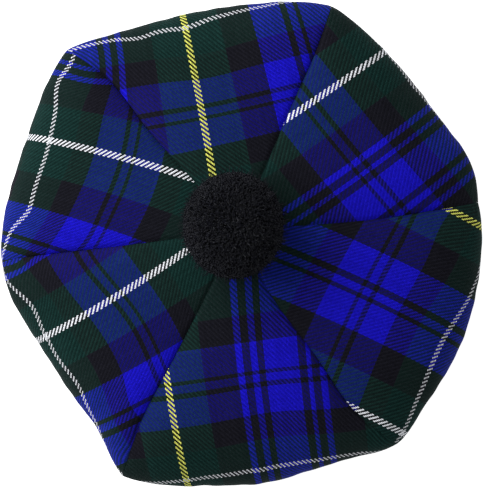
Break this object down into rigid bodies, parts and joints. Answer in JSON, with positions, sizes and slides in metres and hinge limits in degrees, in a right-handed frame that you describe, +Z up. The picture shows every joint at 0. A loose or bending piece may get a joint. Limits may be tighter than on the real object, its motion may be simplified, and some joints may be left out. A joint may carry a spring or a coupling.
{
  "type": "tam o shanter",
  "caption": "Flat round wool cap in tartan cloth gores that fold under at a full soft rim to a plain head band, with a cut-yarn pompom on its crown.",
  "frame": {"origin": "middle of the whole outline, on the surface that the band stands on", "axes": "+Z up through the crown, +Y towards the back of the hat, +X to its right as seen from above with the back at the top"},
  "size_m": [0.2812, 0.2834, 0.1104],
  "materials": {
    "tartan_wool": "twill-woven worsted wool in blue, green and black checks with thin white and yellow lines",
    "band_wool": "plain black wool, matt",
    "pompom_yarn": "cut wool yarn, black, matt"
  },
  "bodies": {
    "root": {"gore_back_right": "tartan_wool", "gore_back": "tartan_wool", "gore_back_left": "tartan_wool", "gore_front_left": "tartan_wool", "gore_front": "tartan_wool", "gore_front_right": "tartan_wool", "head_band": "band_wool", "pompom": "pompom_yarn"}
  },
  "joints": []
}
